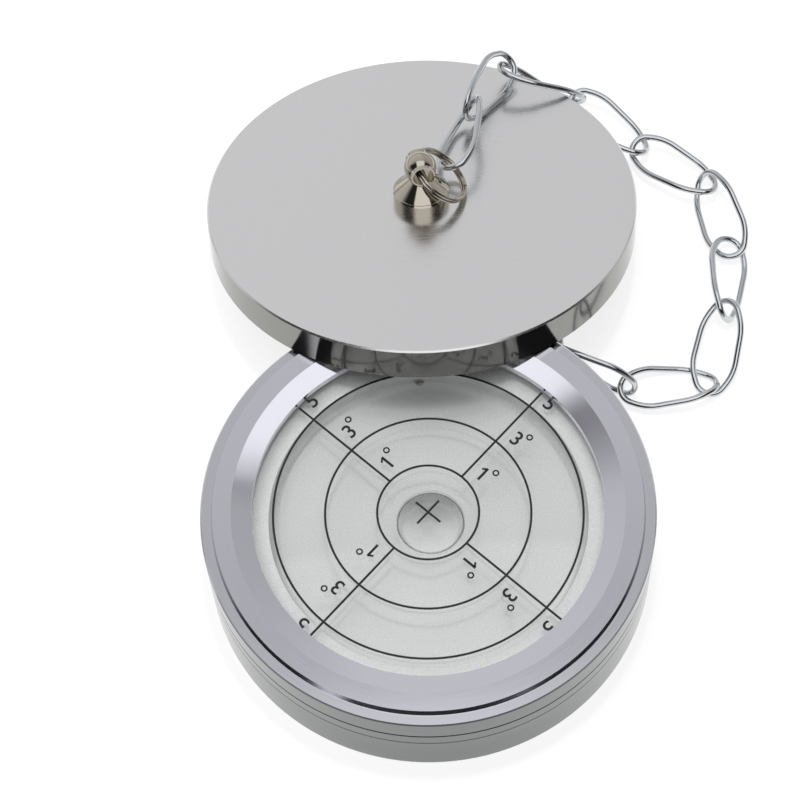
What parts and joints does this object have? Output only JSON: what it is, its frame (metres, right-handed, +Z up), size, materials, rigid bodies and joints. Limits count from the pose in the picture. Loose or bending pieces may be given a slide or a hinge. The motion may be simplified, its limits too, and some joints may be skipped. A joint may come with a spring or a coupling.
{
  "type": "bullseye level",
  "caption": "Round bullseye level with a silvered dial, its dust cap leaning on it, and a chain from the cap to the housing.",
  "frame": {"origin": "centre of the housing's flat base, on the dial's axis", "axes": "+Z up along the dial's axis, +Y from the dial toward the cap, +X toward the chain"},
  "size_m": [0.1306, 0.177, 0.038],
  "materials": {
    "housing_metal": "turned",
    "bezel_metal": "fine turned",
    "cap_metal": "fine brushed",
    "frosted_metal": "frosted",
    "glass": "clear",
    "spirit": "clear liquid",
    "air": "clear",
    "ink": "printed",
    "rubber": "matte",
    "brass": "turned",
    "screw_steel": "satin",
    "nickel": "polished nickel",
    "chain_steel": "bright"
  },
  "bodies": {
    "root": {"lower_housing": "housing_metal", "upper_housing": "housing_metal", "bezel_ring": "bezel_metal", "dial_glass": "glass", "glass_gasket": "rubber", "vial_bowl": "frosted_metal", "bowl_seal": "rubber", "spirit_fill": "spirit", "bubble": "air", "dial_print": "ink", "fill_plug": "brass", "fill_plug_seal": "rubber", "base_screws": "screw_steel", "cap": "cap_metal", "cap_stud": "nickel", "stud_screw": "screw_steel", "stud_washer": "screw_steel", "split_ring": "nickel", "chain_anchor": "chain_steel", "chain_link_01": "chain_steel", "chain_link_02": "chain_steel", "chain_link_03": "chain_steel", "chain_link_04": "chain_steel", "chain_link_05": "chain_steel", "chain_link_06": "chain_steel", "chain_link_07": "chain_steel", "chain_link_08": "chain_steel", "chain_link_09": "chain_steel", "chain_link_10": "chain_steel"}
  },
  "joints": []
}
